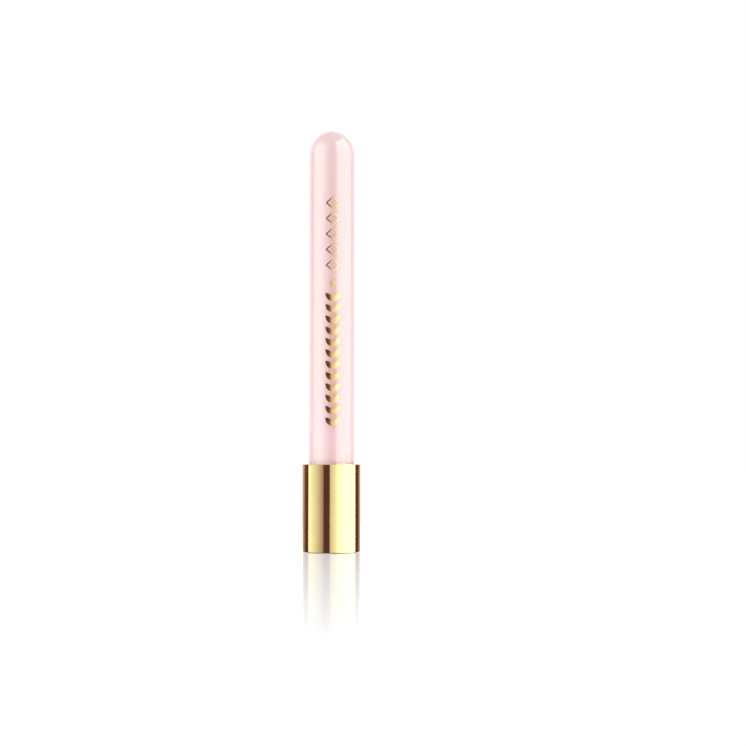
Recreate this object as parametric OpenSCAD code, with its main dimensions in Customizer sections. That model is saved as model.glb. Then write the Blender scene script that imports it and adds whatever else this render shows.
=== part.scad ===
// Lip gloss with a domed tube that stands upside down on its cap.
// The cap carries the stem and the flocked tip, so lifting the tube off leaves the applicator standing.
// Frame: +Z up, origin at the middle of the cap's closed end, millimetres.

/* [Cap] */
// Outer diameter of the cap
cap_d = 16; // [15.8:0.1:18]
// Height of the cap
cap_h = 24; // [23:0.2:27]
// Thickness of the metal shell's side wall
shell_wall = 0.7; // [0.5:0.1:0.8]
// Thickness of the shell's closed end
shell_end = 1; // [0.8:0.1:1.2]
// Radius of the shell's bottom edge
shell_edge = 0.3; // [0.2:0.1:0.7]

/* [Tube] */
// Outer diameter of the tube
tube_d = 12.64; // [12.4:0.02:12.8]
// Length of the tube that shows above the cap
tube_shown = 93; // [90:0.2:110]
// Height of the domed end
dome_h = 6.9; // [6:0.1:9]
// Thickness of the tube's wall
tube_wall = 1.5; // [1.2:0.1:1.8]
// Thickness at the top of the dome
dome_wall = 1.7; // [1.3:0.1:2.5]

/* [Closure] */
// How far the tube's shoulder sits inside the cap
shoulder_depth = 1; // [0.8:0.1:1.4]
// Outer diameter of the neck, at the root of its thread
neck_d = 9.8; // [9.6:0.1:9.9]
// Length of the neck below the shoulder
neck_len = 12; // [11.6:0.1:12.4]
// Diameter of the neck's bore
neck_bore = 7.8; // [7.6:0.1:7.9]
// How far the thread climbs in one turn
thread_lead = 2.4; // [2.2:0.1:2.6]
// Thickness of the ring that seals the shoulder
seal_h = 0.8; // [0.6:0.1:1]

/* [Applicator] */
// Diameter of the stem
stem_d = 4.2; // [3.8:0.1:4.4]
// Length of the stem that shows above the cap
stem_shown = 70.4; // [60:0.1:74]
// Length of the flocked tip
tip_len = 14.5; // [12:0.5:16]
// Thickness of the flock
flock_h = 0.3; // [0.2:0.05:0.4]

/* [Foil] */
// Thickness of the gold foil
foil_h = 0.05; // [0.04:0.01:0.1]
// Height of the foil's lower end above the cap
foil_low = 10; // [5:0.5:14]
// Length of one step of the vine
vine_pitch = 3.1; // [2.8:0.1:3.2]
// Number of leaf pairs on the vine
vine_pairs = 12; // [6:1:13]
// Length of one step of the chain of lozenges
lozenge_pitch = 4.3; // [4:0.1:4.5]
// Number of lozenges above the vine
lozenges = 5; // [1:1:5]

/* [Hidden] */
$fn = 96;

cap_r = cap_d / 2;
tube_r = tube_d / 2;
stem_r = stem_d / 2;
neck_r = neck_d / 2;
bore_r = neck_bore / 2;
cavity_r = tube_r - tube_wall;

// Tube
cavity_taper = 2;
bore_step = 0.2;
mouth_chamfer = 0.2;
shoulder_edge = 0.3;
dome_steps = 24;
cavity_steps = 20;

// Levels from the floor up
shoulder_z = cap_h - shoulder_depth;
mouth_z = shoulder_z - neck_len;
top_z = cap_h + tube_shown;
dome_z = top_z - dome_h;
cavity_top_z = top_z - dome_wall;
cavity_low_z = shoulder_z + cavity_taper;
ledge_z = shoulder_z - seal_h;
stem_root_z = 3;
stem_top_z = cap_h + stem_shown;
tip_top_z = stem_top_z + tip_len;

// Shell and label
edge_steps = 8;
rim_chamfer = 0.12;
label_recess = 0.12;
label_h = 0.08;
label_gap = 0.1;
label_margin = 1.6;
label_r = cap_r - label_margin;

// Liner
liner_r = cap_r - shell_wall;
liner_drop = 0.3;
liner_top_z = cap_h - liner_drop;
collar_gap = 0.18;
collar_r = tube_r + collar_gap;
thread_room = 0.85;
liner_bore_r = neck_r + thread_room;
plug_up = 1;
plug_chamfer = 0.3;
plug_gap = 0.15;
flange_h = 0.7;
seat_z = mouth_z - flange_h;
seat_h = 1.5;
socket_wall = 1.3;
pocket_in_r = stem_r + socket_wall;
liner_wall = 1;
pocket_out_r = liner_r - liner_wall;
ribs = 6;
rib_w = 0.8;
rib_embed = 0.2;

// Thread: the neck's ridge and the liner's ridge share one lead, half a lead apart
ridge_h = 0.7;
ridge_root = 1.3;
ridge_crest = 0.7;
ridge_embed = 0.2;
ridge_steps = 60;
ridge_run_out = 8;
ridge_end_share = 0.15;
neck_turns = 1.25;
liner_turns = 1;
unscrew_turns = 1.5;
neck_ridge_up = 2.6;
neck_ridge_z = mouth_z + neck_ridge_up;
liner_ridge_z = neck_ridge_z - ridge_root + thread_lead * (unscrew_turns - liner_turns);
liner_phase = 360 * (liner_ridge_z - neck_ridge_z) / thread_lead + 180;

// Wiper
wiper_wall = 0.7;
wiper_r = bore_r - wiper_wall;
sleeve_len = 8.3;
lip_len = 2.9;
lip_wall = 0.35;
lip_gap = 0.05;
flange_inset = 0.1;

// Sealing ring
seal_inset = 0.02;
seal_gap = 0.2;

// Applicator tip
shank_d = 2.3;
shank_len = 6.5;
shoulder_taper = 1.3;
stem_end_step = 0.5;
stem_end_r = stem_r - stem_end_step;
tip_levels = 26;
tip_sides = 36;
tip_foot_share = 0.06;
tip_end_share = 0.1;
tip_sweep_r = 3.4;

// Gloss
gloss_gap = 0.03;
wand_gap = 0.1;
lip_room = 0.1;
// The gloss climbs by this much as the tube unscrews, and the tip's foot stays clear of it
thread_rise = thread_lead * unscrew_turns;
chamber_low_z = stem_top_z - wand_gap - thread_rise;

// Foil
foil_x = 0.5;
leaf_len = 3.1;
leaf_w = 1.4;
leaf_tilt = 42;
vine_w = 0.3;
vine_foot = 0.5;
lozenge_w = 4.2;
lozenge_len = 3.7;
lozenge_line = 0.28;
lozenge_bead = 1;
foil_gap = 4;
bud_share = 0.8;
bud_overlap = 0.3;
vine_len = vine_pitch * (vine_pairs + 0.5);

// How far a cutting shape runs past what it cuts
over = 1;

// Points of an elliptic arc in the (radius, height) plane, centred on the axis at height z
function arc(rx, rz, z, from, to, steps) =
    [for (i = [0 : steps]) let (a = from + (to - from) * i / steps) [rx * cos(a), z + rz * sin(a)]];

// Points of a quarter round with its centre at [r, z]
function fillet(r, z, size, from, to) =
    [for (p = arc(size, size, 0, from, to, edge_steps)) [r + p[0], z + p[1]]];

// A closed ridge that climbs along a helix. Its height runs out at both ends.
module ridge(root_r, crest_r, z, turns, phase) {
    steps = round(ridge_steps * turns);
    rings = [for (i = [0 : steps])
        let (
            a = phase + 360 * turns * i / steps,
            up = z + thread_lead * turns * i / steps,
            nearer = min(i, steps - i),
            full = min(1, ridge_end_share + nearer / ridge_run_out),
            r = root_r + (crest_r - root_r) * full,
            half_root = ridge_root / 2,
            half_crest = half_root + (ridge_crest / 2 - half_root) * full
        )
        [
            [root_r * cos(a), root_r * sin(a), up - half_root],
            [r * cos(a), r * sin(a), up - half_crest],
            [r * cos(a), r * sin(a), up + half_crest],
            [root_r * cos(a), root_r * sin(a), up + half_root]
        ]];
    points = [for (ring = rings) each ring];
    // The outward ridge and the inward one wind opposite ways
    order = crest_r > root_r ? [3, 2, 1, 0] : [0, 1, 2, 3];
    sides = [for (i = [0 : steps - 1], k = [0 : 3])
        let (
            here = 4 * i + order[k],
            next = 4 * i + order[(k + 1) % 4]
        )
        each [[here, next + 4, next], [here, here + 4, next + 4]]];
    low_end = [for (k = [0 : 3]) order[k]];
    high_end = [for (k = [3 : -1 : 0]) 4 * steps + order[k]];
    polyhedron(points, concat(sides, [low_end, high_end]), convexity = 8);
}

// Outline of the tip's cross-section at a share t of its height, drawn in by a distance
function tip_left(t) = -(2.1 + 1.3 * sin(90 * t));
function tip_right(t) = 2.3 - 3.6 * pow(t, 1.6);
function tip_depth(t) = 2.1 + 0.15 * sin(180 * t) - 0.5 * pow(t, 3);
// Rounds the tip's foot over its first part and its end over its last part
function tip_round(t) =
    t < tip_foot_share ? 0.9 + 0.1 * sqrt(1 - pow(1 - t / tip_foot_share, 2)) :
    t > 1 - tip_end_share ? sqrt(max(0, 1 - pow(1 - (1 - t) / tip_end_share, 2))) : 1;

module tip_form(inset) {
    rings = [for (i = [0 : tip_levels])
        let (
            t = 1 - pow(1 - i / tip_levels, 1.6),
            middle = (tip_left(t) + tip_right(t)) / 2,
            half = max(0.05, (tip_right(t) - tip_left(t)) / 2 * tip_round(t) - inset),
            depth = max(0.05, tip_depth(t) * tip_round(t) - inset),
            z = stem_top_z + inset + (tip_len - 2 * inset) * t
        )
        [for (k = [0 : tip_sides - 1])
            let (
                a = 360 * k / tip_sides,
                flat = cos(a) > 0 ? pow(cos(a), 0.75) : cos(a)
            )
            [middle + half * flat, depth * sin(a), z]]];
    points = [for (ring = rings) each ring];
    sides = [for (i = [0 : tip_levels - 1], k = [0 : tip_sides - 1])
        let (
            here = tip_sides * i + k,
            next = tip_sides * i + (k + 1) % tip_sides
        )
        each [[here, next + tip_sides, next], [here, here + tip_sides, next + tip_sides]]];
    low_end = [for (k = [0 : tip_sides - 1]) k];
    high_end = [for (k = [tip_sides - 1 : -1 : 0]) tip_sides * tip_levels + k];
    polyhedron(points, concat(sides, [low_end, high_end]), convexity = 4);
}

module cap_shell() {
    color("goldenrod")
    rotate_extrude()
    polygon(concat(
        [[0, label_recess], [label_r, label_recess], [label_r, 0]],
        fillet(cap_r - shell_edge, shell_edge, shell_edge, -90, 0),
        [
            [cap_r, cap_h - rim_chamfer],
            [cap_r - rim_chamfer, cap_h],
            [liner_r + rim_chamfer, cap_h],
            [liner_r, cap_h - rim_chamfer],
            [liner_r, shell_end],
            [0, shell_end]
        ]
    ));
}

module shade_label() {
    color("mistyrose")
    translate([0, 0, label_recess - label_h])
    cylinder(r = label_r - label_gap, h = label_h);
}

module cap_liner() {
    color("ghostwhite") {
        rotate_extrude()
        polygon([
            [0, shell_end],
            [pocket_in_r, shell_end],
            [pocket_in_r, seat_z - seat_h],
            [pocket_out_r, seat_z - seat_h],
            [pocket_out_r, shell_end],
            [liner_r, shell_end],
            [liner_r, liner_top_z],
            [collar_r, liner_top_z],
            [collar_r, ledge_z],
            [liner_bore_r, ledge_z],
            [liner_bore_r, seat_z],
            [wiper_r - plug_gap, seat_z],
            [wiper_r - plug_gap, mouth_z + plug_up],
            [wiper_r - plug_gap - plug_chamfer, mouth_z + plug_up + plug_chamfer],
            [stem_r, mouth_z + plug_up + plug_chamfer],
            [stem_r, stem_root_z],
            [0, stem_root_z]
        ]);
        for (i = [0 : ribs - 1])
            rotate(360 * i / ribs)
            translate([pocket_in_r - rib_embed, -rib_w / 2, shell_end])
            cube([
                pocket_out_r - pocket_in_r + 2 * rib_embed,
                rib_w,
                seat_z - seat_h - shell_end + rib_embed
            ]);
        ridge(
            liner_bore_r + ridge_embed,
            liner_bore_r - ridge_h,
            liner_ridge_z, liner_turns, liner_phase
        );
    }
}

module stem() {
    color("aliceblue")
    rotate_extrude()
    polygon([
        [0, stem_root_z],
        [stem_r, stem_root_z],
        [stem_r, stem_top_z - shoulder_taper],
        [stem_end_r, stem_top_z],
        [shank_d / 2, stem_top_z],
        [shank_d / 2, stem_top_z - shank_len],
        [0, stem_top_z - shank_len]
    ]);
}

module tip_core() {
    color("aliceblue") {
        tip_form(flock_h);
        translate([0, 0, stem_top_z - shank_len])
        cylinder(d = shank_d, h = shank_len + 2 * flock_h);
    }
}

module tip_flock() {
    color("lavenderblush")
    difference() {
        tip_form(0);
        tip_form(flock_h);
        translate([0, 0, stem_top_z - over])
        cylinder(d = shank_d, h = over + 2 * flock_h);
    }
}

module seal_ring() {
    color("lightgrey")
    translate([0, 0, ledge_z])
    difference() {
        cylinder(r = tube_r - seal_inset, h = seal_h);
        translate([0, 0, -over])
        cylinder(r = neck_r + seal_gap, h = seal_h + 2 * over);
    }
}

module gloss() {
    color("pink")
    rotate_extrude()
    polygon(concat(
        [
            [stem_r + wand_gap, mouth_z + sleeve_len + lip_len + lip_gap],
            [stem_r + lip_wall + lip_gap + lip_room, mouth_z + sleeve_len + lip_len + lip_gap],
            [bore_r - gloss_gap, mouth_z + sleeve_len + 2 * lip_room],
            [bore_r - gloss_gap, shoulder_z + bore_step],
            [cavity_r - gloss_gap, cavity_low_z]
        ],
        arc(cavity_r - gloss_gap, cavity_top_z - dome_z - gloss_gap, dome_z, 0, 90, cavity_steps),
        [
            [0, tip_top_z + 2 * wand_gap],
            [tip_sweep_r + wand_gap, tip_top_z + 2 * wand_gap],
            [tip_sweep_r + wand_gap, chamber_low_z],
            [stem_r + wand_gap, chamber_low_z - shoulder_taper]
        ]
    ));
}

module tube() {
    color("mistyrose", 0.6) {
        rotate_extrude()
        polygon(concat(
            [
                [bore_r, mouth_z],
                [neck_r - mouth_chamfer, mouth_z],
                [neck_r, mouth_z + mouth_chamfer],
                [neck_r, shoulder_z]
            ],
            fillet(tube_r - shoulder_edge, shoulder_z + shoulder_edge, shoulder_edge, -90, 0),
            arc(tube_r, dome_h, dome_z, 0, 90, dome_steps),
            arc(cavity_r, cavity_top_z - dome_z, dome_z, 90, 0, cavity_steps),
            [
                [cavity_r, cavity_low_z],
                [bore_r, shoulder_z + bore_step]
            ]
        ));
        ridge(
            neck_r - ridge_embed,
            neck_r + ridge_h,
            neck_ridge_z, neck_turns, 0
        );
    }
}

module wiper() {
    color("whitesmoke")
    rotate_extrude()
    polygon([
        [wiper_r, mouth_z - flange_h],
        [neck_r - flange_inset, mouth_z - flange_h],
        [neck_r - flange_inset, mouth_z],
        [bore_r, mouth_z],
        [bore_r, mouth_z + sleeve_len],
        [stem_r + lip_gap + lip_wall, mouth_z + sleeve_len + lip_len],
        [stem_r + lip_gap, mouth_z + sleeve_len + lip_len],
        [wiper_r, mouth_z + sleeve_len]
    ]);
}

// A flat outline, drawn in the XZ plane, wrapped onto the tube's front as a thin skin
module foil_skin(low, high) {
    intersection() {
        translate([0, 0, low])
        difference() {
            cylinder(r = tube_r + foil_h, h = high - low);
            translate([0, 0, -over])
            cylinder(r = tube_r, h = high - low + 2 * over);
        }
        rotate([90, 0, 0])
        linear_extrude(tube_r + over)
        children();
    }
}

// A pointed leaf along +X, from its foot at the origin
module leaf(length, width) {
    bulge_r = (pow(length / 2, 2) + pow(width / 2, 2)) / width;
    intersection() {
        translate([length / 2, width / 2 - bulge_r])
        circle(r = bulge_r);
        translate([length / 2, bulge_r - width / 2])
        circle(r = bulge_r);
    }
}

module lozenge(width, height) {
    polygon([[-width / 2, 0], [0, -height / 2], [width / 2, 0], [0, height / 2]]);
}

module foil_vine() {
    low = cap_h + foil_low;
    color("gold")
    foil_skin(low - over, low + vine_len + leaf_len * bud_share + over)
    translate([foil_x, low]) {
        translate([-vine_w / 2, 0])
        square([vine_w, vine_len]);
        for (i = [0 : vine_pairs - 1], side = [0, 1])
            translate([0, vine_pitch * i + vine_foot])
            mirror([side, 0])
            rotate(90 - leaf_tilt)
            leaf(leaf_len, leaf_w);
        translate([0, vine_len - bud_overlap])
        rotate(90)
        leaf(leaf_len * bud_share, leaf_w);
    }
}

module foil_lozenges() {
    low = cap_h + foil_low + vine_len + foil_gap + lozenge_len / 2;
    line_share = 1 - 3 * lozenge_line / lozenge_len;
    color("gold")
    foil_skin(low - lozenge_len, low + lozenge_pitch * lozenges)
    translate([foil_x, low])
    for (i = [0 : lozenges - 1])
        translate([0, lozenge_pitch * i]) {
            difference() {
                lozenge(lozenge_w, lozenge_len);
                lozenge(lozenge_w * line_share, lozenge_len * line_share);
            }
            lozenge(lozenge_bead, lozenge_bead);
        }
}

cap_shell();
cap_liner();
shade_label();
stem();
tip_core();
tip_flock();
seal_ring();
gloss();
tube();
wiper();
foil_lozenges();
foil_vine();
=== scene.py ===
import math
import random

import bmesh
import bpy
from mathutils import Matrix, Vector


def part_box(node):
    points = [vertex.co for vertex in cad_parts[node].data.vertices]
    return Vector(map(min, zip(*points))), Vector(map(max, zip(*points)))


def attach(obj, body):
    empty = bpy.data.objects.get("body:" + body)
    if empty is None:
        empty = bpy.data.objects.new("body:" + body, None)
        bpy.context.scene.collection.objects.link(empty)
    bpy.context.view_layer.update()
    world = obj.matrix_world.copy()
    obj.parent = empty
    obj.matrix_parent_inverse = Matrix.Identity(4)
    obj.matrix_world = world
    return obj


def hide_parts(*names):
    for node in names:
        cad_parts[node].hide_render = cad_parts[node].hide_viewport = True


# A lip gloss standing on its gold cap. The wand is fixed in the cap: lifting the tube off shows it.
# Everything is in metres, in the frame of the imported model: +Z up, the cap's closed end at z = 0.
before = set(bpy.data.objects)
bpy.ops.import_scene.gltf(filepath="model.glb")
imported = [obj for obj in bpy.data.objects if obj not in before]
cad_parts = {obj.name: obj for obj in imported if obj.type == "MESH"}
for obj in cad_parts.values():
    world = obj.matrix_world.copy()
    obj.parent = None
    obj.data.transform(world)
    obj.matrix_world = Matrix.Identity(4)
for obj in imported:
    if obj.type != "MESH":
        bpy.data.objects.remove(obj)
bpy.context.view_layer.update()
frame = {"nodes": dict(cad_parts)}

MM = 0.001
TAU = 2 * math.pi

# ---------------------------------------------------------------- sizes from the frame
cap_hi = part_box("cap_shell")[1]
liner_lo, liner_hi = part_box("cap_liner")
stem_lo, stem_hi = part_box("stem")
flock_lo, flock_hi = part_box("tip_flock")
tube_lo, tube_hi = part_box("tube")
gloss_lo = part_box("gloss")[0]
ring_lo, ring_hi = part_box("seal_ring")
vine_lo, vine_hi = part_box("foil_vine")
lozenge_lo, lozenge_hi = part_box("foil_lozenges")

CAP_R = cap_hi.x
CAP_TOP = cap_hi.z
TUBE_R = tube_hi.x
TUBE_TOP = tube_hi.z
MOUTH_Z = tube_lo.z
SHOULDER_Z = ring_hi.z
STEM_R = stem_hi.x
STEM_TOP = stem_hi.z
LINER_R = liner_hi.x
LINER_LOW = liner_lo.z

# ---------------------------------------------------------------- sizes the boxes don't give
# Cap shell
CAP_EDGE = 0.3 * MM
CAP_RIM = 0.12 * MM
LABEL_RECESS = 0.12 * MM
LABEL_R = CAP_R - 1.6 * MM
RECESS_LIP = 0.05 * MM
RECESS_CORNER = 0.06 * MM
# Liner
COLLAR_R = TUBE_R + 0.18 * MM
LEDGE_Z = ring_lo.z
BORE_R = 5.75 * MM
PLUG_R = 3.05 * MM
SEAT_Z = MOUTH_Z - 0.7 * MM
LINER_CHAMFER = 0.3 * MM
COLLAR_CHAMFER = 0.15 * MM
PLUG_TOP = MOUTH_Z + 1.3 * MM
# Tube
TUBE_WALL = 1.5 * MM
DOME_H = 6.9 * MM
DOME_WALL = 1.7 * MM
NECK_R = 4.9 * MM
NECK_BORE_R = 3.9 * MM
SHOULDER_EDGE = 0.3 * MM
MOUTH_EDGE = 0.2 * MM
BORE_STEP = 0.2 * MM
NECK_MARGIN = 0.3 * MM
CAVITY_R = TUBE_R - TUBE_WALL
CAVITY_LOW = SHOULDER_Z + 2.0 * MM
# Thread
THREAD_LEAD = 2.4 * MM
THREAD_HEIGHT = 0.7 * MM
THREAD_ROOT = 1.3 * MM
THREAD_CREST = 0.7 * MM
# The part of a turn in which the ridge rises to its full height at each end
THREAD_RUN_OUT = 0.12
NECK_TURNS = 1.25
LINER_TURNS = 1.0
UNSCREW_TURNS = 1.5
NECK_THREAD_Z = MOUTH_Z + 2.6 * MM
LINER_THREAD_Z = NECK_THREAD_Z - THREAD_ROOT + THREAD_LEAD * (UNSCREW_TURNS - LINER_TURNS)
LINER_PHASE = TAU * (LINER_THREAD_Z - NECK_THREAD_Z) / THREAD_LEAD + math.pi
# Wand
STEM_TAPER = 1.3 * MM
STEM_CHAMFER = 0.1 * MM
STEM_SHOULDER = 0.5 * MM
STEM_SHOULDER_UP = 0.3 * MM
STEM_LIP = 0.08 * MM
STEM_LIP_UP = 0.15 * MM
# How far under the taper the stem's straight wall stops
STEM_ROUND_ROOM = 1 * MM
STEM_END_R = STEM_R - STEM_SHOULDER
TIP_FOOT_SHARE = 0.06
TIP_END_SHARE = 0.1
TIP_LEVELS = 56
TIP_SIDES = 72
TIP_LEAST = 0.02 * MM
FIBRE_LEN = 0.2 * MM
FIBRE_R = 0.011 * MM
FIBRES = 9000
FIBRE_LEAN = 0.22
# The pad under the fibres, and the fibres' roots in it, as shares of a fibre below the tip's skin
PAD_INSET = 0.8
ROOT_INSET = 0.9
# Foil
FOIL_H = 0.05 * MM
FOIL_DEEP = 0.02 * MM
VINE_PAIRS = 12
VINE_PITCH = 3.1 * MM
VINE_FOOT = 0.5 * MM
VINE_W = 0.3 * MM
LEAF_LEN = 3.1 * MM
LEAF_W = 1.4 * MM
LEAF_TILT = math.radians(42)
BUD_LEN = 0.8 * LEAF_LEN
BUD_OVERLAP = 0.3 * MM
LOZENGES = 5
LOZENGE_PITCH = 4.3 * MM
LOZENGE_W = 4.2 * MM
LOZENGE_LEN = 3.7 * MM
LOZENGE_LINE = 0.28 * MM
LOZENGE_BEAD = 1.0 * MM

# The air film drawn between clear plastic and what touches it, so that no two surfaces coincide
FILM = 0.02 * MM

# Smoothness of what is turned
TURN_STEPS = 192
# Not the tube's own number, so that no facet of the gloss lies on one of the tube's
GEL_STEPS = 180
THREAD_ROWS = 80
# A long wall has rings close to its ends, so that only these lean with the edges next to it
WALL_ROWS = 12
STRAIGHT = 0.2 * MM


# ---------------------------------------------------------------- mesh helpers
def arc(centre_r, centre_z, size_r, size_z, start, stop, steps):
    """Points (r, z) of an elliptic arc, angles in degrees from +r towards +z."""
    points = []
    for i in range(steps + 1):
        a = math.radians(start + (stop - start) * i / steps)
        points.append((centre_r + size_r * math.cos(a), centre_z + size_z * math.sin(a)))
    return points


def mesh_object(name, build, sharp_deg=35):
    """A new smooth-shaded mesh object. build fills the bmesh it is given."""
    bm = bmesh.new()
    build(bm)
    bmesh.ops.remove_doubles(bm, verts=bm.verts, dist=1e-7)
    bmesh.ops.recalc_face_normals(bm, faces=bm.faces)
    mesh = bpy.data.meshes.new(name)
    bm.to_mesh(mesh)
    bm.free()
    mesh.polygons.foreach_set("use_smooth", [True] * len(mesh.polygons))
    mesh.set_sharp_from_angle(angle=math.radians(sharp_deg))
    piece = bpy.data.objects.new(name, mesh)
    bpy.context.scene.collection.objects.link(piece)
    return piece


def turned(name, profile, shape=None, steps=TURN_STEPS, sharp_deg=35):
    """A closed profile of (r, z) points turned about Z. shape(a, r, z) may move a point's r."""

    def build(bm):
        rings = []
        for r, z in profile:
            if r < 1e-9:
                rings.append([bm.verts.new((0, 0, z))])
                continue
            ring = []
            for k in range(steps):
                a = TAU * k / steps
                at = shape(a, r, z) if shape else r
                ring.append(bm.verts.new((at * math.cos(a), at * math.sin(a), z)))
            rings.append(ring)
        for low, high in zip(rings, rings[1:] + rings[:1]):
            if len(low) == 1 and len(high) == 1:
                continue
            for k in range(steps):
                n = (k + 1) % steps
                if len(low) == 1:
                    bm.faces.new((low[0], high[n], high[k]))
                elif len(high) == 1:
                    bm.faces.new((low[k], low[n], high[0]))
                else:
                    bm.faces.new((low[k], low[n], high[n], high[k]))

    return mesh_object(name, build, sharp_deg)


def smooth_step(x):
    x = min(1.0, max(0.0, x))
    return x * x * (3 - 2 * x)


def thread_height(a, z, low, turns, phase):
    """How far a helical ridge stands out at angle a and height z."""
    best = 0.0
    for turn in range(-1, math.ceil(turns) + 2):
        along = (a - phase) / TAU + turn
        if not 0 <= along <= turns:
            continue
        off = abs(z - (low + THREAD_LEAD * along))
        flank = (THREAD_ROOT / 2 - off) / ((THREAD_ROOT - THREAD_CREST) / 2)
        ends = min(along, turns - along) / THREAD_RUN_OUT
        best = max(best, smooth_step(flank) * smooth_step(ends))
    return THREAD_HEIGHT * best


def rows(r, low, high, count):
    """Points that divide a straight wall, for a thread on it or to keep its shading straight."""
    return [(r, low + (high - low) * i / count) for i in range(count + 1)]


def on_tube(x, z, height):
    """Wraps a flat point at (x, z) on the front of the tube."""
    a = x / TUBE_R - math.pi / 2
    r = TUBE_R + height
    return Vector((r * math.cos(a), r * math.sin(a), z))


# ---------------------------------------------------------------- shader helpers
class Shader:
    """A node-based material with the few links that every finish here uses."""

    def __init__(self, name):
        self.material = bpy.data.materials.new(name)
        self.material.use_nodes = True
        self.tree = self.material.node_tree
        self.bsdf = self.tree.nodes["Principled BSDF"]
        self.where = self.add("ShaderNodeTexCoord").outputs["Object"]

    def add(self, kind, **settings):
        node = self.tree.nodes.new(kind)
        for key, value in settings.items():
            if key in node.inputs:
                node.inputs[key].default_value = value
            else:
                setattr(node, key, value)
        return node

    def link(self, source, target):
        self.tree.links.new(source, target)

    def set(self, **sockets):
        for key, value in sockets.items():
            self.bsdf.inputs[key.replace("_", " ")].default_value = value

    def stretched(self, x=1.0, y=1.0, z=1.0):
        """Object coordinates scaled along each axis."""
        mapping = self.add("ShaderNodeMapping")
        mapping.inputs["Scale"].default_value = (x, y, z)
        self.link(self.where, mapping.inputs["Vector"])
        return mapping.outputs["Vector"]

    def noise(self, scale, detail=3.0, roughness=0.5, vector=None):
        node = self.add("ShaderNodeTexNoise", Scale=scale, Detail=detail, Roughness=roughness)
        self.link(vector or self.where, node.inputs["Vector"])
        return node.outputs["Fac"]

    def ramp(self, factor, *stops):
        """Stops are (position, colour or grey level)."""
        node = self.add("ShaderNodeValToRGB")
        elements = node.color_ramp.elements
        while len(elements) < len(stops):
            elements.new(0.5)
        for element, (position, colour) in zip(elements, stops):
            element.position = position
            grey = isinstance(colour, (int, float))
            element.color = (colour, colour, colour, 1) if grey else (*colour, 1)
        self.link(factor, node.inputs["Fac"])
        return node.outputs["Color"]

    def colour(self, output):
        self.link(output, self.bsdf.inputs["Base Color"])

    def roughness(self, output):
        self.link(output, self.bsdf.inputs["Roughness"])

    def bump(self, height, distance, strength=1.0):
        node = self.add("ShaderNodeBump", Distance=distance, Strength=strength)
        self.link(height, node.inputs["Height"])
        self.link(node.outputs["Normal"], self.bsdf.inputs["Normal"])


def finish_with(piece, shader):
    piece.data.materials.clear()
    piece.data.materials.append(shader.material)


# ---------------------------------------------------------------- materials
def gold_metal():
    """Bright anodised gold with faint polishing lines round the cap."""
    s = Shader("gold_metal")
    s.set(Metallic=1.0)
    s.bsdf.inputs["Specular Tint"].default_value = (1.0, 0.93, 0.78, 1)
    cloud = s.noise(180, 2)
    s.colour(s.ramp(cloud, (0.3, (0.83, 0.66, 0.29)), (0.7, (0.87, 0.705, 0.325))))
    lines = s.noise(900, 4, 0.6, s.stretched(0.05, 0.05, 6))
    s.roughness(s.ramp(lines, (0.3, 0.07), (0.75, 0.13)))
    s.bump(lines, 0.0000015, 0.35)
    return s


def gold_foil():
    """Hot-stamped foil: thin and slightly crinkled, a little uneven in tone."""
    s = Shader("gold_foil")
    s.set(Metallic=1.0)
    crinkle = s.noise(2600, 3, 0.55)
    s.colour(s.ramp(s.noise(900, 3), (0.3, (0.78, 0.52, 0.22)), (0.7, (0.88, 0.65, 0.34))))
    s.roughness(s.ramp(crinkle, (0.3, 0.14), (0.8, 0.3)))
    s.bump(crinkle, 0.000006, 0.5)
    return s


def clear_tube():
    """Thick clear plastic with faint flow lines along its length."""
    s = Shader("clear_tube")
    s.set(Transmission_Weight=1.0, IOR=1.5)
    tint = s.noise(60, 2, 0.4, s.stretched(1, 1, 0.2))
    s.colour(s.ramp(tint, (0.3, (0.995, 0.985, 0.98)), (0.7, (1.0, 0.995, 0.99))))
    flow = s.noise(420, 3, 0.5, s.stretched(1, 1, 0.06))
    s.roughness(s.ramp(flow, (0.35, 0.015), (0.8, 0.04)))
    s.bump(flow, 0.000004, 0.25)
    return s


def clear_rod(name, shade, ior):
    """Polished clear plastic. shade is the share of the light that each face lets by."""
    s = Shader(name)
    s.set(Transmission_Weight=1.0, IOR=ior)
    tint = s.noise(80, 2, 0.4, s.stretched(1, 1, 0.15))
    s.colour(s.ramp(tint, (0.3, 0.96 * shade), (0.7, shade)))
    flow = s.noise(700, 3, 0.5, s.stretched(1, 1, 0.04))
    s.roughness(s.ramp(flow, (0.35, 0.02), (0.8, 0.05)))
    s.bump(flow, 0.000003, 0.2)
    return s


def gloss_liquid():
    """Pearly pale pink gel: slow clouds of colour and a fine mica shimmer."""
    s = Shader("gloss_liquid")
    s.set(Subsurface_Weight=0.2, Subsurface_Scale=0.0012, IOR=1.47)
    s.bsdf.inputs["Subsurface Radius"].default_value = (1.0, 0.55, 0.6)
    cloud = s.noise(95, 4, 0.55, s.stretched(1, 1, 0.35))
    pearl = s.noise(5200, 2, 0.7)
    base = s.ramp(cloud, (0.3, (0.88, 0.695, 0.73)), (0.7, (0.89, 0.745, 0.725)))
    glint = s.ramp(pearl, (0.62, 0.0), (0.8, 0.35))
    mix = s.add("ShaderNodeMix", data_type="RGBA")
    s.link(glint, mix.inputs["Factor"])
    s.link(base, mix.inputs["A"])
    mix.inputs["B"].default_value = (0.93, 0.84, 0.83, 1)
    s.colour(mix.outputs["Result"])
    s.roughness(s.ramp(pearl, (0.4, 0.32), (0.8, 0.2)))
    return s


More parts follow.
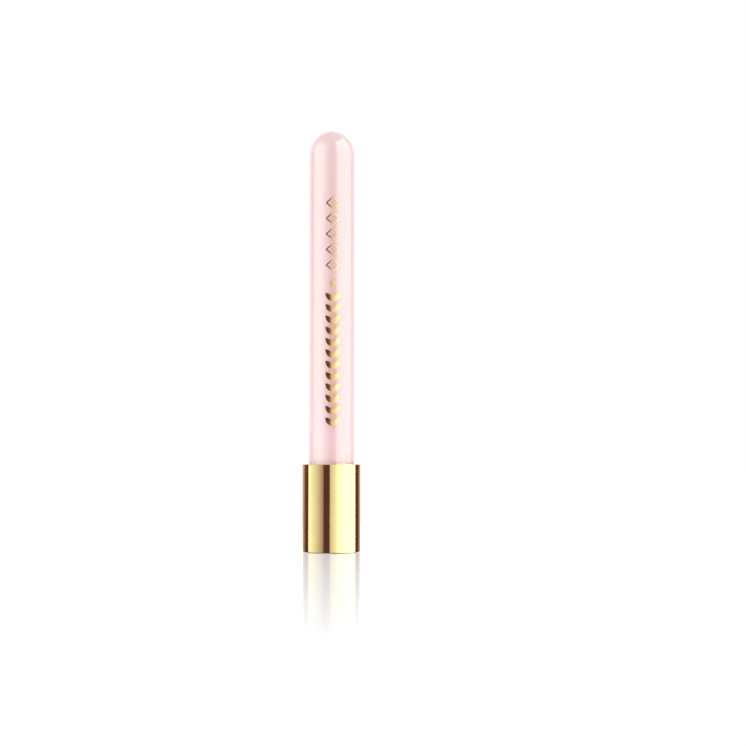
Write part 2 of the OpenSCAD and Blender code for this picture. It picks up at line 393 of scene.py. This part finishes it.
def flock():
    """Short pale pink fibres with a soft sheen and faint clouds of tone."""
    s = Shader("flock")
    s.set(Roughness=0.9, Sheen_Weight=0.35, Sheen_Roughness=0.5)
    s.bsdf.inputs["Sheen Tint"].default_value = (1.0, 0.93, 0.93, 1)
    cloud = s.noise(700, 3)
    s.colour(s.ramp(cloud, (0.3, (0.80, 0.68, 0.69)), (0.7, (0.87, 0.77, 0.77))))
    s.bump(s.noise(9000, 2), 0.00004, 0.6)
    return s


def moulded(name, low, high, roughness, subsurface):
    """Satin or soft moulded plastic with a fine sparked texture."""
    s = Shader(name)
    s.set(Subsurface_Weight=subsurface, Subsurface_Scale=0.0008)
    s.colour(s.ramp(s.noise(260, 3), (0.3, low), (0.7, high)))
    grain = s.noise(3600, 3, 0.6)
    s.roughness(s.ramp(grain, (0.3, roughness - 0.06), (0.7, roughness + 0.08)))
    s.bump(grain, 0.000012, 0.35)
    return s


def label_film():
    """Blank printed film: fine fibres under a satin coat."""
    s = Shader("label")
    s.set(Coat_Weight=0.2, Coat_Roughness=0.25)
    fibres = s.noise(2200, 4, 0.65, s.stretched(1, 0.2, 1))
    s.colour(s.ramp(fibres, (0.3, (0.90, 0.78, 0.77)), (0.7, (0.94, 0.83, 0.82))))
    s.roughness(s.ramp(fibres, (0.3, 0.45), (0.7, 0.6)))
    s.bump(fibres, 0.00001, 0.3)
    return s


# ---------------------------------------------------------------- cap
def cap_profile():
    inside = LINER_R
    return (
        [(0, LABEL_RECESS), (LABEL_R - RECESS_CORNER, LABEL_RECESS)]
        + [(LABEL_R, LABEL_RECESS - RECESS_CORNER / 3)]
        + arc(LABEL_R + RECESS_LIP, RECESS_LIP, RECESS_LIP, RECESS_LIP, 180, 270, 4)
        + arc(CAP_R - CAP_EDGE, CAP_EDGE, CAP_EDGE, CAP_EDGE, -90, 0, 16)
        + rows(CAP_R, CAP_EDGE + STRAIGHT, CAP_TOP - CAP_RIM - STRAIGHT, WALL_ROWS)
        + arc(CAP_R - CAP_RIM, CAP_TOP - CAP_RIM, CAP_RIM, CAP_RIM, 0, 90, 8)
        + arc(inside + CAP_RIM, CAP_TOP - CAP_RIM, CAP_RIM, CAP_RIM, 90, 180, 8)
        + [(inside, LINER_LOW), (0, LINER_LOW)]
    )


def liner_profile():
    return (
        [(0, LINER_LOW), (LINER_R, LINER_LOW), (LINER_R, liner_hi.z)]
        + [(COLLAR_R + COLLAR_CHAMFER, liner_hi.z), (COLLAR_R, liner_hi.z - COLLAR_CHAMFER)]
        + [(COLLAR_R, LEDGE_Z)]
        + list(reversed(rows(BORE_R, SEAT_Z + LINER_CHAMFER, LEDGE_Z, THREAD_ROWS)))
        + [(BORE_R - LINER_CHAMFER, SEAT_Z), (PLUG_R, SEAT_Z), (PLUG_R, PLUG_TOP - LINER_CHAMFER)]
        + [(PLUG_R - LINER_CHAMFER, PLUG_TOP), (STEM_R + FILM, PLUG_TOP)]
        + [(STEM_R + FILM, stem_lo.z - FILM), (0, stem_lo.z - FILM)]
    )


def liner_shape(a, r, z):
    if abs(r - BORE_R) > 1e-7:
        return r
    return r - thread_height(a, z, LINER_THREAD_Z, LINER_TURNS, LINER_PHASE % TAU)


def make_cap():
    shell = turned("gold_cap", cap_profile(), sharp_deg=40)
    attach(shell, "applicator")
    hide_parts("cap_shell")
    finish_with(shell, gold_metal())

    liner = turned("threaded_liner", liner_profile(), liner_shape)
    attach(liner, "applicator")
    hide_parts("cap_liner")
    white = moulded("white_plastic", (0.86, 0.86, 0.84), (0.92, 0.92, 0.90), 0.34, 0.15)
    finish_with(liner, white)

    finish_with(frame["nodes"]["shade_label"], label_film())
    return shell


# ---------------------------------------------------------------- wand
def stem_profile():
    """The tip's core is bonded into the stem, so the plastic is drawn solid round it."""
    foot = stem_lo.z + STEM_CHAMFER
    shoulder = STEM_TOP - STEM_TAPER - STEM_SHOULDER_UP
    return (
        [(0, stem_lo.z), (STEM_R - STEM_CHAMFER, stem_lo.z), (STEM_R, foot)]
        + rows(STEM_R, foot + STRAIGHT, STEM_TOP - STEM_TAPER - STEM_ROUND_ROOM, WALL_ROWS)
        + arc(STEM_END_R, shoulder, STEM_SHOULDER, STEM_SHOULDER, 0, 40, 6)
        + [(STEM_END_R + STEM_LIP, STEM_TOP - STEM_LIP_UP), (STEM_END_R, STEM_TOP), (0, STEM_TOP)]
    )


def tip_point(share, angle, inset):
    """A point on the doe-foot tip at a share of its height. It leans towards -X as it rises.

    left, right and depth are its outline's sizes in millimetres, and full rounds off its ends.
    """
    left = -(2.1 + 1.3 * math.sin(math.pi / 2 * share)) * MM
    right = (2.3 - 3.6 * share**1.6) * MM
    depth = (2.1 + 0.15 * math.sin(math.pi * share) - 0.5 * share**3) * MM
    if share < TIP_FOOT_SHARE:
        full = 0.9 + 0.1 * math.sqrt(1 - (1 - share / TIP_FOOT_SHARE) ** 2)
    elif share > 1 - TIP_END_SHARE:
        full = math.sqrt(max(0.0, 1 - (1 - (1 - share) / TIP_END_SHARE) ** 2))
    else:
        full = 1.0
    half = max(TIP_LEAST, (right - left) / 2 * full - inset)
    depth = max(TIP_LEAST, depth * full - inset)
    across = math.cos(angle)
    across = across**0.75 if across > 0 else across
    z = flock_lo.z + inset + (flock_hi.z - flock_lo.z - 2 * inset) * share
    return Vector(((left + right) / 2 + half * across, depth * math.sin(angle), z))


def make_tip():
    def body(bm):
        rings = []
        for i in range(TIP_LEVELS + 1):
            share = 1 - (1 - i / TIP_LEVELS) ** 1.7
            ring = []
            for k in range(TIP_SIDES):
                point = tip_point(share, TAU * k / TIP_SIDES, FIBRE_LEN * PAD_INSET)
                ring.append(bm.verts.new(point))
            rings.append(ring)
        for low, high in zip(rings, rings[1:]):
            for k in range(TIP_SIDES):
                n = (k + 1) % TIP_SIDES
                bm.faces.new((low[k], low[n], high[n], high[k]))
        bm.faces.new(rings[0])
        bm.faces.new(rings[-1])

    def fibres(bm):
        draw = random.Random(11)
        step, turn = 0.004, 0.05
        for _ in range(FIBRES):
            share = 1 - (1 - draw.random()) ** 1.25
            angle = TAU * draw.random()
            share = min(0.985, max(0.01, share))
            root = tip_point(share, angle, FIBRE_LEN * ROOT_INSET)
            above = tip_point(share + step, angle, FIBRE_LEN)
            along = above - tip_point(share - step, angle, FIBRE_LEN)
            beside = tip_point(share, angle + turn, FIBRE_LEN)
            across = beside - tip_point(share, angle - turn, FIBRE_LEN)
            out = across.cross(along).normalized()
            lean = Vector((draw.gauss(0, 1), draw.gauss(0, 1), draw.gauss(0, 1))) * FIBRE_LEAN
            way = (out + lean).normalized()
            end = root + way * FIBRE_LEN * draw.uniform(0.75, 1.0)
            side = way.orthogonal().normalized()
            other = way.cross(side)
            foot = []
            for k in range(3):
                a = TAU * k / 3
                spoke = side * math.cos(a) + other * math.sin(a)
                foot.append(bm.verts.new(root + spoke * FIBRE_R))
            head = bm.verts.new(end)
            for k in range(3):
                bm.faces.new((foot[k], foot[(k + 1) % 3], head))
            bm.faces.new(foot)

    finish = flock()
    pad = mesh_object("flocked_tip", body, 60)
    nap = mesh_object("flock_fibres", fibres, 180)
    for piece in (pad, nap):
        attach(piece, "applicator")
        finish_with(piece, finish)
    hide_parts("tip_flock")


def make_wand():
    stem = turned("clear_wand", stem_profile(), sharp_deg=50)
    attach(stem, "applicator")
    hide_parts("stem")
    finish_with(stem, clear_rod("clear_stem", 0.79, 1.49))
    # The core's index is relative to the stem's plastic, which it shares
    finish_with(frame["nodes"]["tip_core"], clear_rod("clear_core", 0.99, 1.002))
    make_tip()
    return stem


# ---------------------------------------------------------------- tube and what it holds
def tube_profile():
    dome_z = TUBE_TOP - DOME_H
    cavity_top = TUBE_TOP - DOME_WALL
    mouth = MOUTH_Z + FILM
    shoulder = SHOULDER_Z + FILM
    wall_low = shoulder + SHOULDER_EDGE
    bore = NECK_BORE_R + FILM
    return (
        arc(NECK_R - MOUTH_EDGE, mouth + MOUTH_EDGE, MOUTH_EDGE, MOUTH_EDGE, -90, 0, 5)
        + rows(NECK_R, MOUTH_Z + NECK_MARGIN, SHOULDER_Z - NECK_MARGIN, THREAD_ROWS)
        + [(NECK_R, shoulder)]
        + arc(TUBE_R - SHOULDER_EDGE, wall_low, SHOULDER_EDGE, SHOULDER_EDGE, -90, 0, 8)
        + rows(TUBE_R, wall_low + STRAIGHT, dome_z - STRAIGHT, WALL_ROWS)
        + arc(0, dome_z, TUBE_R, DOME_H, 0, 90, 48)
        + arc(0, dome_z, CAVITY_R, cavity_top - dome_z, 90, 0, 40)
        + list(reversed(rows(CAVITY_R, CAVITY_LOW + STRAIGHT, dome_z - STRAIGHT, WALL_ROWS)))
        + [(CAVITY_R, CAVITY_LOW), (bore, SHOULDER_Z + BORE_STEP), (bore, mouth)]
    )


def tube_shape(a, r, z):
    if abs(r - NECK_R) > 1e-7:
        return r
    return r + thread_height(a, z, NECK_THREAD_Z, NECK_TURNS, 0.0)


def gloss_profile():
    """The liquid wets the wall, so its skin is a hair inside the plastic and shows no air gap."""
    wet = 0.03 * MM
    lip_room = 0.6 * MM
    lip_up = 2.6 * MM
    tip_room = 0.3 * MM
    foot_room = 0.2 * MM
    tip_top = flock_hi.z + tip_room
    dome_z = TUBE_TOP - DOME_H
    top = TUBE_TOP - DOME_WALL
    channel = STEM_R + 0.12 * MM
    chamber = 3.65 * MM
    # The gloss climbs with the tube as it unscrews, and the tip's foot stays clear of it
    foot = STEM_TOP - THREAD_LEAD * UNSCREW_TURNS - foot_room
    return (
        [(channel, gloss_lo.z), (STEM_R + lip_room, gloss_lo.z)]
        + [(NECK_BORE_R - wet, gloss_lo.z + lip_up), (NECK_BORE_R - wet, SHOULDER_Z + BORE_STEP)]
        + [(CAVITY_R + wet, CAVITY_LOW)]
        + rows(CAVITY_R + wet, CAVITY_LOW + STRAIGHT, dome_z - STRAIGHT, WALL_ROWS)
        + arc(0, dome_z, CAVITY_R + wet, top - dome_z + wet, 0, 90, 40)
        + [(0, tip_top), (chamber, tip_top), (chamber, foot), (channel, foot - STEM_TAPER)]
    )


def make_tube():
    tube = turned("domed_tube", tube_profile(), tube_shape, sharp_deg=50)
    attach(tube, "container")
    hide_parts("tube")
    finish_with(tube, clear_tube())

    gel = turned("pearl_gloss", gloss_profile(), steps=GEL_STEPS, sharp_deg=50)
    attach(gel, "contents")
    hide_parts("gloss")
    finish_with(gel, gloss_liquid())

    nodes = frame["nodes"]
    for name, material, low, high, roughness in (
        ("wiper", "soft_wiper", (0.90, 0.90, 0.89), (0.95, 0.95, 0.94), 0.38),
        ("seal_ring", "soft_seal", (0.88, 0.87, 0.86), (0.93, 0.92, 0.91), 0.42),
    ):
        finish_with(nodes[name], moulded(material, low, high, roughness, 0.4))
        mesh = nodes[name].data
        mesh.polygons.foreach_set("use_smooth", [True] * len(mesh.polygons))


# ---------------------------------------------------------------- foil
def foil_patch(bm, place, steps_u, steps_v):
    """A thin closed patch on the tube. place(u, v) gives the flat point (x, z), u and v in 0..1."""
    sheets = []
    for height in (FOIL_H, -FOIL_DEEP):
        grid = []
        for i in range(steps_u + 1):
            line = []
            for j in range(steps_v + 1):
                x, z = place(i / steps_u, j / steps_v)
                line.append(bm.verts.new(on_tube(x, z, height)))
            grid.append(line)
        sheets.append(grid)
    top, back = sheets
    for grid in sheets:
        for i in range(steps_u):
            for j in range(steps_v):
                bm.faces.new((grid[i][j], grid[i + 1][j], grid[i + 1][j + 1], grid[i][j + 1]))
    rim = [(i, 0) for i in range(steps_u)] + [(steps_u, j) for j in range(steps_v)]
    rim += [(i, steps_v) for i in range(steps_u, 0, -1)] + [(0, j) for j in range(steps_v, 0, -1)]
    for (i, j), (k, m) in zip(rim, rim[1:] + rim[:1]):
        bm.faces.new((top[i][j], top[k][m], back[k][m], back[i][j]))


def leaf_place(foot_x, foot_z, tilt, length, width):
    """A pointed leaf whose edges are arcs. tilt is its angle from straight up, towards +X."""

    def place(u, v):
        half = width / 2 * math.sin(math.pi * min(0.999, max(0.001, u))) ** 0.85
        across = (v - 0.5) * 2 * half
        x = foot_x + length * u * math.sin(tilt) + across * math.cos(tilt)
        z = foot_z + length * u * math.cos(tilt) - across * math.sin(tilt)
        return x, z

    return place


def bar_place(a, b, width):
    """A straight bar from point a to point b."""
    start, end = Vector(a), Vector(b)
    side = (end - start).normalized().orthogonal() * width / 2

    def place(u, v):
        at = start.lerp(end, u) + side * (2 * v - 1)
        return at.x, at.y

    return place


def make_foil():
    middle = (vine_lo.x + vine_hi.x) / 2
    foot = vine_lo.z
    length = VINE_PITCH * (VINE_PAIRS + 0.5)

    def vine(bm):
        foil_patch(bm, bar_place((middle, foot), (middle, foot + length), VINE_W), 120, 2)
        for i in range(VINE_PAIRS):
            for side in (-1, 1):
                z = foot + VINE_PITCH * i + VINE_FOOT
                foil_patch(bm, leaf_place(middle, z, side * LEAF_TILT, LEAF_LEN, LEAF_W), 20, 6)
        foil_patch(bm, leaf_place(middle, foot + length - BUD_OVERLAP, 0, BUD_LEN, LEAF_W), 20, 6)

    def lozenges(bm):
        centre = (lozenge_lo.x + lozenge_hi.x) / 2
        inner = 1 - 3 * LOZENGE_LINE / LOZENGE_LEN
        for i in range(LOZENGES):
            z = lozenge_lo.z + LOZENGE_LEN / 2 + LOZENGE_PITCH * i
            wide, tall = LOZENGE_W / 2, LOZENGE_LEN / 2
            corners = [(wide, 0), (0, tall), (-wide, 0), (0, -tall)]
            for (ax, az), (bx, bz) in zip(corners, corners[1:] + corners[:1]):

                def place(u, v, ax=ax, az=az, bx=bx, bz=bz, z=z):
                    share = 1 + (inner - 1) * v
                    x = (ax + (bx - ax) * u) * share
                    up = (az + (bz - az) * u) * share
                    return centre + x, z + up

                foil_patch(bm, place, 14, 3)
            bead = LOZENGE_BEAD / 2

            def bead_place(u, v, z=z):
                x = (u - 0.5) + (v - 0.5)
                up = (u - 0.5) - (v - 0.5)
                return centre + x * bead, z + up * bead

            foil_patch(bm, bead_place, 6, 6)

    finish = gold_foil()
    made = []
    for name, build, node in (
        ("gold_vine", vine, "foil_vine"),
        ("gold_lozenges", lozenges, "foil_lozenges"),
    ):
        piece = mesh_object(name, build, 40)
        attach(piece, "container")
        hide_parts(node)
        finish_with(piece, finish)
        made.append(piece)
    return made


# ---------------------------------------------------------------- studio
# What the shiny parts reflect, as (start, stop, first level, last level): strips of light round the
# object. Angles are in degrees from the front, and positive is to its right. The gold has strips of
# its own, because metal needs dimmer ones than clear plastic does.
DARK = 0.06
GOLD_STRIPS = (
    (-180, -160, 1.0, 0.7),
    (-160, -143, 0.7, 0.5),
    (-143, -130, 0.5, 0.2),
    (-130, -121, 0.2, DARK),
    (-121, -101.5, DARK, DARK),
    (-101.5, -88, 1.6, 1.4),
    (-88, -52, 1.3, 0.75),
    (-52, -30, 0.75, 0.3),
    (-30, -4.5, DARK, DARK),
    (-4.5, 23, 0.75, 1.25),
    (23, 60, 1.6, 2.3),
    (60, 109.5, 2.3, 2.6),
    (109.5, 134, DARK, DARK),
    (134, 155, 0.14, 0.6),
    (155, 180, 0.8, 1.0),
)
CLEAR_STRIPS = (
    (-180, -150, 1.1, 1.4),
    (-150, -130, 1.4, 1.5),
    (-130, -106, 1.4, 1.1),
    (-106, -86, 2.4, 4.6),
    (-86, -52, 5.3, 6.1),
    (-52, -38, 6.0, 3.8),
    (-38, -21, 3.8, 1.8),
    (-21, -6, 1.8, 0.1),
    (-6, 14, 0.1, 0.4),
    (14, 24, 0.4, 1.6),
    (24, 32, 3.2, 5.2),
    (32, 46, 5.2, 6.3),
    (46, 86, 6.6, 5.6),
    (86, 112, 5.6, 4.6),
    (112, 130, 1.4, 1.4),
    (130, 180, 1.3, 1.1),
)
# The wand's outline is drawn by what it mirrors from behind: dark at its left, lighter at its right
STEM_STRIPS = (
    (-180, -98, 0.04, 0.04),
    (-98, -86, 3.6, 4.6),
    *(strip for strip in CLEAR_STRIPS if -86 <= strip[0] < 112),
    (112, 180, 0.9, 0.9),
)
# The floor mirrors the object, but one even white in place of the strips
PLAIN_STRIPS = ((-180, 180, 2.6, 2.6),)
# A dark strip is a warm brown, a light one is white
DARK_TINT = (1.85, 0.7, 0.95)
DARK_BELOW = 0.62
# The strips round the clear plastic are slightly warm
CLEAR_TINT = (1.0, 0.99, 0.93)
PLAIN_TINT = (1.0, 1.0, 1.0)
STEM_DRUM_R = 1.05
GOLD_DRUM_R = 1.1
CLEAR_DRUM_R = 1.2
FLOOR_DRUM_R = 1.0
DRUM_LOW = -0.8
DRUM_TOP = 2.25
# Heights between which the strips on the left and on the right fade into the ceiling
FADE_LEFT = (0.7, 1.8)
FADE_RIGHT = (2.0, 2.24)
CEILING = (0.75, 0.66, 0.64)
UNDER = (0.11, 0.055, 0.045)


def glow(name, colour=None, see_through=False):
    """A plain emitting material. Without a colour it takes the mesh's own colours."""
    material = bpy.data.materials.new(name)
    material.use_nodes = True
    nodes, links = material.node_tree.nodes, material.node_tree.links
    nodes.clear()
    emission = nodes.new("ShaderNodeEmission")
    shader = emission.outputs["Emission"]
    if colour:
        emission.inputs["Color"].default_value = (*colour, 1)
    else:
        source = nodes.new("ShaderNodeVertexColor")
        source.layer_name = "light"
        links.new(source.outputs["Color"], emission.inputs["Color"])
    if see_through:
        clear = nodes.new("ShaderNodeBsdfTransparent")
        add = nodes.new("ShaderNodeAddShader")
        links.new(shader, add.inputs[0])
        links.new(clear.outputs["BSDF"], add.inputs[1])
        shader = add.outputs["Shader"]
    out = nodes.new("ShaderNodeOutputMaterial")
    links.new(shader, out.inputs["Surface"])
    return material


def only_in_reflections(card):
    card.visible_camera = False
    card.visible_diffuse = False
    card.visible_transmission = False
    card.visible_shadow = False
    card.visible_volume_scatter = False


def lights_only(card, pieces, state):
    """state INCLUDE lights only these pieces, and EXCLUDE all but these."""
    group = bpy.data.collections.new(card.name + "_on")
    for piece in pieces:
        group.objects.link(piece)
    for member in group.collection_objects:
        member.light_linking.link_state = state
    card.light_linking.receiver_collection = group


def strip_colour(level, tint):
    warm = max(0.0, 1 - level / DARK_BELOW)
    return [level * bright * (1 + warm * (dark - 1)) for bright, dark in zip(tint, DARK_TINT)]


def make_drum(name, radius, strips, tint, material):
    bm = bmesh.new()
    layer = bm.loops.layers.float_color.new("light")
    for start, stop, first, last in strips:
        fade_low, fade_high = FADE_LEFT if start < 0 else FADE_RIGHT
        heights = (DRUM_LOW, fade_low, fade_high, DRUM_TOP)
        steps = max(2, round((stop - start) / 3))
        for i in range(steps):
            columns = []
            for share in (i / steps, (i + 1) / steps):
                a = math.radians(start + (stop - start) * share)
                colour = strip_colour(first + (last - first) * share, tint)
                points = [(radius * math.sin(a), -radius * math.cos(a), z) for z in heights]
                columns.append(list(zip(points, (colour, colour, CEILING, CEILING))))
            left, right = columns
            for k in range(len(heights) - 1):
                corners = (left[k], right[k], right[k + 1], left[k + 1])
                face = bm.faces.new([bm.verts.new(point) for point, _ in corners])
                for loop, (_, colour) in zip(face.loops, corners):
                    loop[layer] = (*colour, 1)
    mesh = bpy.data.meshes.new(name)
    bm.to_mesh(mesh)
    bm.free()
    drum = bpy.data.objects.new(name, mesh)
    bpy.context.scene.collection.objects.link(drum)
    mesh.materials.append(material)
    only_in_reflections(drum)
    return drum


def flat_stage(name, size, z, material):
    mesh = bpy.data.meshes.new(name)
    h = size / 2
    mesh.from_pydata([(-h, -h, z), (h, -h, z), (h, h, z), (-h, h, z)], [], [(0, 1, 2, 3)])
    mesh.materials.append(material)
    plate = bpy.data.objects.new(name, mesh)
    bpy.context.scene.collection.objects.link(plate)
    return plate


FLOOR_SIZE = 12.0
FLOOR_LEVEL = 1.03
FLOOR_ROUGHNESS = 0.1
# The room's width, in radii of the drum
ROOM_SHARE = 2.6
# How much the floor mirrors, by the distance in metres from the object: (distance, share)
FLOOR_SHINE = ((0.0, 0.45), (0.12, 0.27), (0.16, 0.17), (0.2, 0.04), (0.21, 0.0))


def floor_material():
    """A lit white acrylic sheet: it glows evenly, and is polished only round the object."""
    material = bpy.data.materials.new("studio_floor")
    material.use_nodes = True
    nodes, links = material.node_tree.nodes, material.node_tree.links
    nodes.clear()
    light = nodes.new("ShaderNodeEmission")
    light.inputs["Strength"].default_value = FLOOR_LEVEL
    mirror = nodes.new("ShaderNodeBsdfGlossy")
    mirror.inputs["Color"].default_value = (1, 1, 1, 1)
    mirror.inputs["Roughness"].default_value = FLOOR_ROUGHNESS
    where = nodes.new("ShaderNodeTexCoord")
    distance = nodes.new("ShaderNodeVectorMath")
    distance.operation = "LENGTH"
    links.new(where.outputs["Object"], distance.inputs[0])
    shine = nodes.new("ShaderNodeValToRGB")
    elements = shine.color_ramp.elements
    while len(elements) < len(FLOOR_SHINE):
        elements.new(0.5)
    for element, (place, share) in zip(elements, FLOOR_SHINE):
        element.position = place
        element.color = (share, share, share, 1)
    links.new(distance.outputs["Value"], shine.inputs["Fac"])
    mix = nodes.new("ShaderNodeMixShader")
    links.new(shine.outputs["Color"], mix.inputs["Fac"])
    links.new(light.outputs["Emission"], mix.inputs[1])
    links.new(mirror.outputs["BSDF"], mix.inputs[2])
    out = nodes.new("ShaderNodeOutputMaterial")
    links.new(mix.outputs["Shader"], out.inputs["Surface"])
    return material


def make_studio(gold_pieces, stem):
    """White all round. The strips, ceiling and underside show only in reflections."""
    gold_light = glow("gold_light", see_through=True)
    gold_drum = make_drum("gold_strips", GOLD_DRUM_R, GOLD_STRIPS, PLAIN_TINT, gold_light)
    stem_light = glow("stem_light", see_through=True)
    stem_drum = make_drum("stem_strips", STEM_DRUM_R, STEM_STRIPS, CLEAR_TINT, stem_light)
    clear_light = glow("clear_light")
    clear_drum = make_drum("clear_strips", CLEAR_DRUM_R, CLEAR_STRIPS, CLEAR_TINT, clear_light)
    plain_light = glow("plain_light", see_through=True)
    plain_drum = make_drum("plain_strips", FLOOR_DRUM_R, PLAIN_STRIPS, PLAIN_TINT, plain_light)
    size = ROOM_SHARE * CLEAR_DRUM_R
    for name, z, light, colour in (
        ("studio_ceiling", DRUM_TOP, "studio_top", CEILING),
        ("studio_under", DRUM_LOW, "studio_low", UNDER),
    ):
        only_in_reflections(flat_stage(name, size, z, glow(light, colour)))
    floor = flat_stage("studio_floor", FLOOR_SIZE, 0.0, floor_material())
    lights_only(gold_drum, gold_pieces, "INCLUDE")
    lights_only(stem_drum, [stem], "INCLUDE")
    lights_only(clear_drum, [*gold_pieces, stem, floor], "EXCLUDE")
    lights_only(plain_drum, [floor], "INCLUDE")
    floor.visible_glossy = False

    world = bpy.data.worlds.new("studio")
    scene = bpy.context.scene
    scene.world = world
    world.use_nodes = True
    background = world.node_tree.nodes["Background"]
    background.inputs["Color"].default_value = (1, 1, 1, 1)
    background.inputs["Strength"].default_value = 1.0
    scene.view_settings.view_transform = "Standard"
    # Light has to reach the gloss through the clear wall and come out again, many times over
    scene.cycles.blur_glossy = 0.0
    scene.cycles.max_bounces = 64
    scene.cycles.diffuse_bounces = 16
    scene.cycles.glossy_bounces = 48
    scene.cycles.transmission_bounces = 48


# ---------------------------------------------------------------- camera
CAMERA_DISTANCE = 0.4
# At the object: how high the view is, and its middle above the cap's rim and right of the object
VIEW_HEIGHT = 0.2068
VIEW_RISE = 25.3 * MM
VIEW_CENTRE_X = 11.45 * MM
SENSOR = 36.0


def make_camera():
    """Level with the cap's rim and tilted up a little, with the object left of the middle."""
    data = bpy.data.cameras.new("camera")
    camera = bpy.data.objects.new("camera", data)
    bpy.context.scene.collection.objects.link(camera)
    reach = math.hypot(CAMERA_DISTANCE, VIEW_RISE)
    data.sensor_width = SENSOR
    data.lens = SENSOR * reach / VIEW_HEIGHT
    data.clip_start = 0.01
    data.clip_end = 20
    camera.location = (VIEW_CENTRE_X, -CAMERA_DISTANCE, CAP_TOP)
    camera.rotation_euler = (math.pi / 2 + math.atan2(VIEW_RISE, CAMERA_DISTANCE), 0, 0)
    bpy.context.scene.camera = camera


gold_cap = make_cap()
wand = make_wand()
make_tube()
foil = make_foil()
make_studio([gold_cap, *foil], wand)
make_camera()
